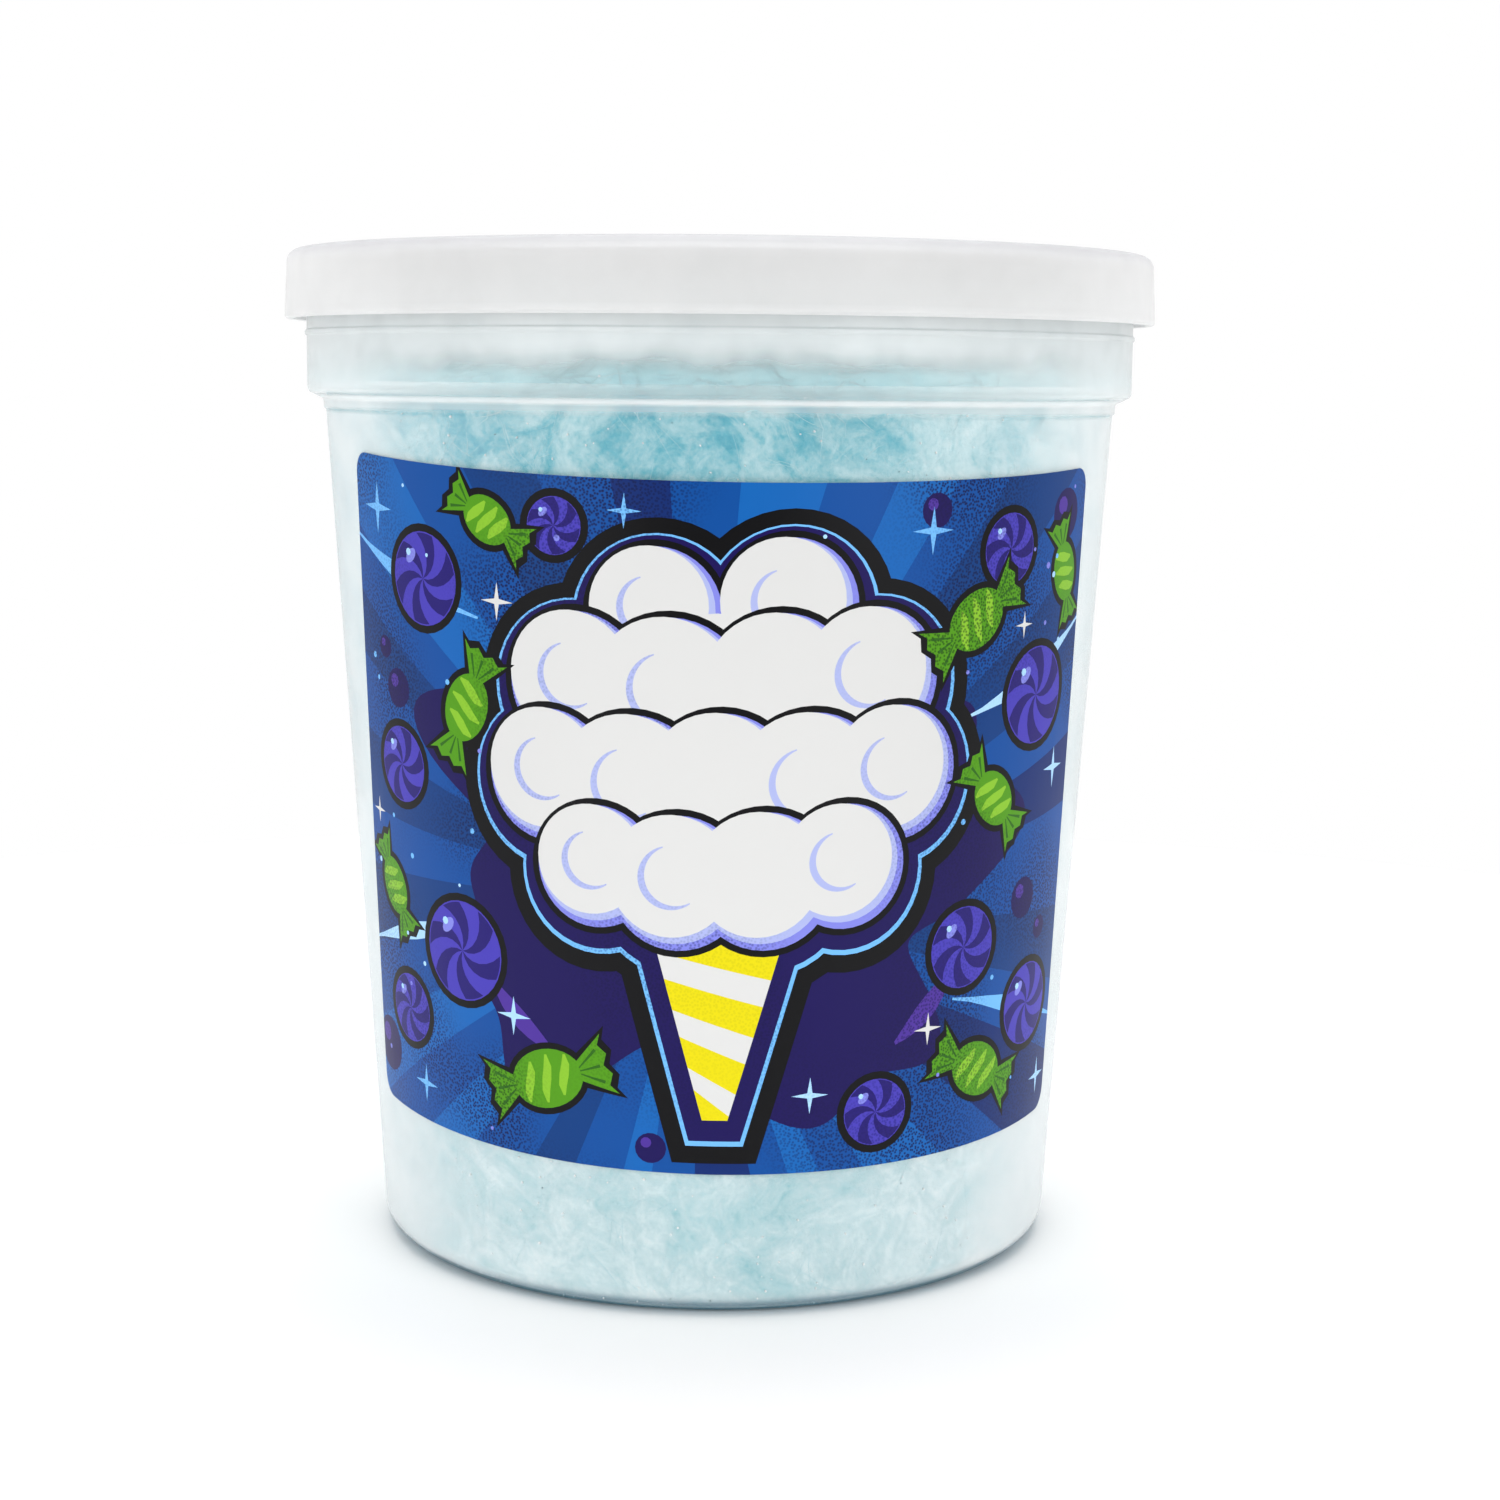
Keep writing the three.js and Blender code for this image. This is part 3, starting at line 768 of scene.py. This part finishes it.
def printedFilm():
    # Paper label printed in solid and dotted inks under a satin varnish:
    # crisp flat shapes, a fine dot grain in the mid tones and a soft shine.
    material, tree = newMaterial("varnished label paper")
    ink = addNode(tree, "ShaderNodeVertexColor", layer_name="ink").outputs
    sheet = addNode(tree, "ShaderNodeUVMap", uv_map="sheet")
    turned = addNode(tree, "ShaderNodeMapping", {
        "Vector": sheet, "Rotation": (0, 0, math.radians(label["dotTurn"]))})
    dots = addNode(tree, "ShaderNodeTexVoronoi", {
        "Vector": turned, "Scale": label["sheetUnit"] / label["dotPitch"], "Randomness": 0.95},
        feature="F1", voronoi_dimensions="2D")
    # the stipple thickens and thins out from place to place
    fade = addNode(tree, "ShaderNodeTexNoise", {
        "Vector": sheet, "Scale": label["sheetUnit"] / label["stippleDrift"], "Detail": 1.0})
    grain = maths(tree, "MULTIPLY", remap(tree, dots, *label["dotEdge"], 1, 0),
                  remap(tree, fade, *label["stippleFade"], smooth=True))
    share = maths(tree, "MULTIPLY", grain, ink["Alpha"])
    finishMaterial(tree, {
        "Base Color": mixColours(tree, share, ink["Color"], colour(label["dotInk"]), "MULTIPLY"),
        "Roughness": 0.42, "Specular IOR Level": 0.15, "Coat Weight": 0.05, "Coat Roughness": 0.2})
    return material


# candy: fills the tub, pressed against the wall, loose and tufted on top

candy = {
    "segments": 300, "sideRows": 150, "topRows": 56,
    "reach": 0.28,  # into the wall, so that no air shows behind it
    "clear": 0.3,  # of the wall above the shoulder, where it stands free
    "footReach": 1.5,  # into the thick foot ring, so that the candy shows right down to the base
    "relief": 0.17, "foldWidth": 7.0,
    "top": 120.9, "edgeWidth": 4.0, "edgeHeight": 2.6,
    "bulge": 0.9, "bulgeFrom": 1.0, "bulgeTo": 5.0,
    "tuft": 0.85, "tuftWidth": 11.0, "ceiling": 123.7,
    "warpWidth": 16, "warp": 26, "twist": 22,  # the last in radians for each metre up
    # place in the pattern and colour, from the deep hollows to the pale veils
    "upperTones": ((0.36, "#2f9bb8"), (0.44, "#60b9ca"), (0.5, "#99cfd9"), (0.56, "#bce0e6"),
                   (0.66, "#ddf1f4")),
    "lowerTones": ((0.36, "#93cad3"), (0.44, "#b8dbe0"), (0.5, "#c9e2e6"), (0.56, "#daedf0"),
                   (0.66, "#eef8f9")),
    "lowerTo": 15, "upperFrom": 100,
    "paleSideFrom": 8, "paleSideTo": 38, "paleSideShift": 0.062,  # paler towards +X
    # painted light: a brighter tone for the candy in the collar, and how much of it shows
    "collarLitTone": "#c9f7fc", "collarLitShare": 0.7, "collarRise": 1.5,
    # painted shade: the deep teal at the very bottom of the candy, and the heights over which it fades
    "baseShadeFrom": 1.0, "baseShadeTo": 2.6, "baseShadeTone": "#1b7690",
}


def smoothStep(value, low, high):
    share = min(max((value - low) / (high - low), 0), 1)
    return share * share * (3 - 2 * share)


def candyRoom(height):
    free = smoothStep(height, tub["shoulder"] - 0.4, tub["shoulder"] + 0.8)
    wide = candy["bulge"] * smoothStep(height - tub["shoulder"], candy["bulgeFrom"], candy["bulgeTo"])
    return innerWall(height) + candy["reach"] * (1 - free) - candy["clear"] * free + wide


def candyProfile():
    reach = candy["reach"]
    low = innerFloor + innerCorner + reach - candy["footReach"]
    plateEdge = innerCornerCentre - tub["footWidth"] - tub["floorThickness"]
    profile = [(share * plateEdge, innerFloor - reach) for share in (0, 0.33, 0.67, 1)]
    profile += arcPoints(innerCornerCentre, low, innerCorner + reach, -90, 0, 12)
    high = candy["top"] - candy["edgeHeight"]
    for i in range(1, candy["sideRows"] + 1):
        height = low + (high - low) * i / candy["sideRows"]
        profile.append((candyRoom(height), height))
    flat = candyRoom(candy["top"]) - candy["edgeWidth"]
    for i in range(1, 9):
        angle = math.radians(90 * i / 8)
        profile.append((flat + candy["edgeWidth"] * math.cos(angle),
                        high + candy["edgeHeight"] * math.sin(angle)))
    rows = candy["topRows"]
    profile += [(flat * (1 - i / rows), candy["top"]) for i in range(1, rows + 1)]
    return profile


def candySurface(point):
    # folds where it meets the wall, tufts where it is free
    x, y, z = point
    radius = math.hypot(x, y)
    free = smoothStep(z, tub["shoulder"] - 1.0, tub["shoulder"] + 3.0)
    wide = Vector((x, y, z)) / candy["foldWidth"]
    small = noise.fractal(wide * 2.2, 0.6, 2.1, 3)
    folded = noise.noise(wide + Vector((noise.noise(wide * 0.7), 0, 4.0)) * 1.6)
    press = candy["relief"] * max(-1.0, min(1.0, folded + 0.6 * small))
    tuftPlace = Vector((x, y, 0.4 * z)) / candy["tuftWidth"]
    tufts = noise.fractal(tuftPlace, 0.8, 2.0, 4) + 0.35 * noise.noise(tuftPlace * 3.1)
    step = noise.noise(tuftPlace * 1.3 + Vector((7, 3, 1)))
    lump = candy["tuft"] * (tufts + 0.9 * smoothStep(step, 0.12, 0.3))
    if radius > 1e-6:
        outward = press * (1 - free) + 0.35 * lump * free * min(1, radius / 20)
        x, y = x * (1 + outward / radius), y * (1 + outward / radius)
    onTop = smoothStep(z, candy["top"] - candy["edgeHeight"] - 1.5, candy["top"] - 0.4)
    z = min(z + lump * onTop * (0.5 + 0.5 * smoothStep(radius, 8, 40)), candy["ceiling"])
    return (x, y, z)


def makeCandy(material):
    piece = turnedPiece("candy_core", candyProfile(), candy["segments"], material)
    for vertex in piece.data.vertices:
        vertex.co = Vector(candySurface(vertex.co / mm)) * mm
    piece.data.update()
    return piece


def spunSugar():
    # Spun sugar floss: matt, soft and fibrous, blue with paler veils where strands lie dense,
    # deeper towards the lid. Object coordinates twisted about Z lay the veils aslant.
    material, tree = newMaterial("spun sugar floss")
    place = addNode(tree, "ShaderNodeTexCoord").outputs["Object"]
    parts = addNode(tree, "ShaderNodeSeparateXYZ", {"Vector": place}).outputs
    # a soft field bends every layer but the finest, so that no two veils run alike
    push = softPush(tree, place, candy["warpWidth"], 2, candy["warp"] * mm)
    warped = vectorMaths(tree, "ADD", place, push)
    twisted = addNode(tree, "ShaderNodeVectorRotate", {
        "Vector": warped, "Angle": maths(tree, "MULTIPLY", parts["Z"], candy["twist"])},
        rotation_type="Z_AXIS")
    # patches, slanting veils, crumbs and powder: widths in millimetres, detail, distortion, seed, weight
    layers = (
        (warped, (15, 15, 12), 7.0, 0.3, 3.1, 0.42),
        (twisted, (5, 5, 10), 7.0, 0.5, 9.4, 0.24),
        (warped, (2.6, 2.6, 2.2), 5.0, 0.6, 5.2, 0.22),
        (place, (0.7, 0.7, 0.7), 2.0, 0.0, 1.7, 0.12),
    )
    total = 0.0
    for source, widths, detail, distortion, seed, weight in layers:
        scaled = addNode(tree, "ShaderNodeMapping", {
            "Vector": source, "Scale": [1 / (w * mm) for w in widths], "Location": (seed, seed * 0.7, 0)})
        veil = addNode(tree, "ShaderNodeTexNoise", {
            "Vector": scaled, "Scale": 1.0, "Detail": detail, "Roughness": 0.6, "Distortion": distortion})
        total = maths(tree, "MULTIPLY_ADD", veil, weight, total)
    # paler towards +X
    paleSide = remap(tree, parts["X"], candy["paleSideFrom"] * mm, candy["paleSideTo"] * mm,
                   end=candy["paleSideShift"], smooth=True)
    total = maths(tree, "ADD", total, paleSide)
    upward = remap(tree, parts["Z"], candy["lowerTo"] * mm, candy["upperFrom"] * mm)
    tones = mixColours(tree, upward, colourRamp(tree, total, candy["lowerTones"]),
                       colourRamp(tree, total, candy["upperTones"]))
    # painted light: where it lies loose in the collar, light comes through it, so its colour is made brighter
    lit = remap(tree, parts["Z"], tub["shoulder"] * mm, (tub["shoulder"] + candy["collarRise"]) * mm,
                end=candy["collarLitShare"], smooth=True)
    tones = mixColours(tree, lit, tones, colour(candy["collarLitTone"]))
    # painted shade: the candy is a deeper teal at the very bottom, for the dark contact line along the base
    shadeAtBase = remap(tree, parts["Z"], candy["baseShadeFrom"] * mm, candy["baseShadeTo"] * mm, 1, 0, smooth=True)
    tones = mixColours(tree, shadeAtBase, tones, colour(candy["baseShadeTone"]))
    fine = noiseField(tree, place, 0.5, 4, 0.7)
    bump = addNode(tree, "ShaderNodeBump", {"Strength": 0.7, "Distance": 0.25 * mm, "Height": fine})
    finishMaterial(tree, {
        "Base Color": tones, "Roughness": 0.85, "Specular IOR Level": 0.25,
        "Sheen Weight": 0.9, "Sheen Roughness": 0.4, "Normal": bump})
    return material


def plainSugar(name, tone, roughness):
    # Bare sugar of strands, crystals and specks: one of two tones or between them,
    # dull on threads spun fine and glossier on whole crystals.
    material, tree = newMaterial(name)
    place = addNode(tree, "ShaderNodeTexCoord").outputs["Object"]
    tones = colourRamp(tree, noiseField(tree, place, 6, 3), ((0.35, tone[0]), (0.65, tone[1])))
    finishMaterial(tree, {"Base Color": tones, "Roughness": roughness, "IOR": 1.54})
    return material


# strands, crystals and specks are scattered on the candy by Geometry Nodes

def newTree(name, numbers):
    # it takes a surface, a seed, a material and these numbers, and gives back a mesh
    tree = bpy.data.node_groups.new(name, "GeometryNodeTree")
    kinds = {"Geometry": "Geometry", "Seed": "Int", "Material": "Material"}
    kinds.update(dict.fromkeys(numbers, "Float"))
    for title, kind in kinds.items():
        tree.interface.new_socket(title, in_out="INPUT", socket_type="NodeSocket" + kind)
    tree.interface.new_socket("Geometry", in_out="OUTPUT", socket_type="NodeSocketGeometry")
    return tree, addNode(tree, "NodeGroupInput").outputs


def finishTree(tree, shape, material):
    real = addNode(tree, "GeometryNodeRealizeInstances", {"Geometry": shape})
    dressed = addNode(tree, "GeometryNodeSetMaterial", {"Geometry": real, "Material": material})
    addNode(tree, "NodeGroupOutput", {"Geometry": dressed})


def strandTree():
    # wavy threads that lie on the surface they are scattered on
    tree, given = newTree("floss strands", (
        "Density", "Length", "Thickness", "Stand off", "Wave", "Slant", "Lowest", "Highest"))
    where = addNode(tree, "GeometryNodeInputPosition")
    height = addNode(tree, "ShaderNodeSeparateXYZ", {"Vector": where}).outputs["Z"]

    def compared(operation, limit):
        return addNode(tree, "FunctionNodeCompare", {0: height, 1: given[limit]},
                       data_type="FLOAT", operation=operation)

    def drawn(least, most):
        return addNode(tree, "FunctionNodeRandomValue", {2: least, 3: most, "Seed": given["Seed"]},
                       data_type="FLOAT").outputs[1]
    inside = addNode(tree, "FunctionNodeBooleanMath", {
        0: compared("GREATER_THAN", "Lowest"), 1: compared("LESS_THAN", "Highest")}, operation="AND")
    spots = addNode(tree, "GeometryNodeDistributePointsOnFaces", {
        "Mesh": given["Geometry"], "Density": given["Density"], "Seed": given["Seed"], "Selection": inside})
    lying = addNode(tree, "FunctionNodeAxesToRotation", {
        "Primary Axis": spots.outputs["Normal"], "Secondary Axis": (0, 0, 1)},
        primary_axis="Z", secondary_axis="X")
    turn = drawn(maths(tree, "MULTIPLY", given["Slant"], -1.0), given["Slant"])
    spin = addNode(tree, "FunctionNodeAxisAngleToRotation", {"Axis": (0, 0, 1), "Angle": turn})
    aimed = addNode(tree, "FunctionNodeRotateRotation", {
        "Rotation": lying, "Rotate By": spin}, rotation_space="LOCAL")
    line = addNode(tree, "GeometryNodeCurvePrimitiveLine", {"Start": (-0.5, 0, 0), "End": (0.5, 0, 0)})
    steps = addNode(tree, "GeometryNodeResampleCurve", {"Curve": line, "Count": 7})
    length = drawn(maths(tree, "MULTIPLY", given["Length"], 0.35), given["Length"])
    laid = addNode(tree, "GeometryNodeInstanceOnPoints", {
        "Points": spots, "Instance": steps, "Rotation": aimed, "Scale": length})
    real = addNode(tree, "GeometryNodeRealizeInstances", {"Geometry": laid})
    # bend each thread by a soft field, then lay it back on the surface
    sway = softPush(tree, where, 5, 1, given["Wave"])
    bent = addNode(tree, "GeometryNodeSetPosition", {"Geometry": real, "Offset": sway})
    nearest = addNode(tree, "GeometryNodeProximity", {0: given["Geometry"]}, target_element="FACES")
    facing = addNode(tree, "GeometryNodeInputNormal")
    surface = addNode(tree, "GeometryNodeSampleNearestSurface", {
        "Mesh": given["Geometry"], "Value": facing}, data_type="FLOAT_VECTOR")
    lift = vectorMaths(tree, "SCALE", surface, given["Stand off"])
    rested = vectorMaths(tree, "ADD", nearest.outputs["Position"], lift)
    settled = addNode(tree, "GeometryNodeSetPosition", {"Geometry": bent, "Position": rested})
    # thin ends
    along = addNode(tree, "GeometryNodeSplineParameter").outputs["Factor"]
    swell = maths(tree, "SINE", maths(tree, "MULTIPLY", along, math.pi))
    body = maths(tree, "MULTIPLY_ADD", swell, 0.8, 0.2)
    thick = maths(tree, "MULTIPLY", body, given["Thickness"])
    section = addNode(tree, "GeometryNodeCurvePrimitiveCircle", {"Resolution": 3, "Radius": 0.5})
    tube = addNode(tree, "GeometryNodeCurveToMesh", {
        "Curve": settled, "Profile Curve": section, "Scale": thick, "Fill Caps": True})
    finishTree(tree, tube, given["Material"])
    return tree


def grainTree():
    # small grains that stand half out of the surface they are scattered on
    tree, given = newTree("sugar grains", ("Density", "Size", "Stand off"))

    def drawn(least, most):
        return addNode(tree, "FunctionNodeRandomValue", {
            0: (least,) * 3, 1: (most,) * 3, "Seed": given["Seed"]}, data_type="FLOAT_VECTOR")
    spots = addNode(tree, "GeometryNodeDistributePointsOnFaces", {
        "Mesh": given["Geometry"], "Density": given["Density"], "Seed": given["Seed"]})
    lift = vectorMaths(tree, "SCALE", spots.outputs["Normal"], given["Stand off"])
    raised = addNode(tree, "GeometryNodeSetPosition", {"Geometry": spots, "Offset": lift})
    grain = addNode(tree, "GeometryNodeMeshIcoSphere", {"Radius": 0.5, "Subdivisions": 1})
    scale = vectorMaths(tree, "SCALE", drawn(0.35, 1.0), given["Size"])
    laid = addNode(tree, "GeometryNodeInstanceOnPoints", {
        "Points": raised, "Instance": grain, "Rotation": drawn(0.0, math.tau), "Scale": scale})
    finishTree(tree, laid, given["Material"])
    return tree


def scattered(name, tree, bed, values):
    # runs a tree on a copy of the bed and keeps the result as a plain mesh
    carrier = newObject(name + "_carrier", bed.data.copy())
    modifier = carrier.modifiers.new(name, "NODES")
    modifier.node_group = tree
    for item in tree.interface.items_tree:
        if item.in_out == "INPUT" and item.name in values:
            modifier[item.identifier] = values[item.name]
    done = carrier.evaluated_get(bpy.context.evaluated_depsgraph_get())
    mesh = bpy.data.meshes.new_from_object(done)
    bpy.data.objects.remove(carrier)
    piece = newObject(name, mesh)
    mesh.name = name
    mesh.shade_smooth()
    print(name + ":", sum(len(p.vertices) - 2 for p in mesh.polygons), "triangles")
    return piece


strands = {
    # real floss is under 0.05 mm thick, drawn a little coarser so that it shows
    "wallStrands": {
        "Density": 0.1 / mm ** 2, "Length": 8 * mm, "Thickness": 0.06 * mm, "Stand off": 0.01 * mm,
        "Wave": 2.5 * mm, "Slant": 1.3, "Seed": 4, "Lowest": 3 * mm, "Highest": 115 * mm},
    "topStrands": {
        "Density": 0.16 / mm ** 2, "Length": 14 * mm, "Thickness": 0.13 * mm, "Stand off": 0.25 * mm,
        "Wave": 7 * mm, "Slant": 3.1, "Seed": 9, "Lowest": 115.5 * mm, "Highest": 130 * mm},
}
grains = {
    "crystals": {"Density": 0.045 / mm ** 2, "Size": 0.42 * mm, "Stand off": 0.14 * mm, "Seed": 21},
    "specks": {"Density": 0.006 / mm ** 2, "Size": 0.26 * mm, "Stand off": 0.14 * mm, "Seed": 33},
}


# put together

makeCamera()
makeStage()
print("stage ready")

tubPlastic = clearPlastic("satin polypropylene", tub)
lidPlastic = clearPlastic("milky polypropylene", lid)
tubShell = turnedPiece("tub_shell", tubProfile(), tub["segments"], tubPlastic, 35)
lidShell = turnedPiece("lid_shell", lidProfile(), tub["segments"], lidPlastic, 35)
print("tub and lid ready")

labelFilm = makeLabel(printedFilm())
candyCore = makeCandy(spunSugar())
print("candy ready")

strandSugar = plainSugar("pulled sugar strand", ("#a9dae3", "#d2ecf0"), 0.8)
crystalSugar = plainSugar("sugar crystal", ("#ffffff", "#ffffff"), 0.3)
burntSugar = plainSugar("scorched sugar speck", ("#3a6f80", "#35505c"), 0.5)
strandNodes, grainNodes = strandTree(), grainTree()
loose = [scattered(name, strandNodes, candyCore, dict(values, Material=strandSugar))
         for name, values in strands.items()]
loose.append(scattered("crystals", grainNodes, candyCore, dict(grains["crystals"], Material=crystalSugar)))
loose.append(scattered("specks", grainNodes, candyCore, dict(grains["specks"], Material=burntSugar)))
print("strands and grains ready")

for piece, node, slot in ((tubShell, "tub", "tub_plastic"), (lidShell, "lid", "lid_plastic"),
                          (labelFilm, "label", "printed_film"), (candyCore, "cotton_candy", "spun_sugar")):
    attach(piece, "root")
    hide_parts(node)
for piece in loose:
    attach(piece, "root")
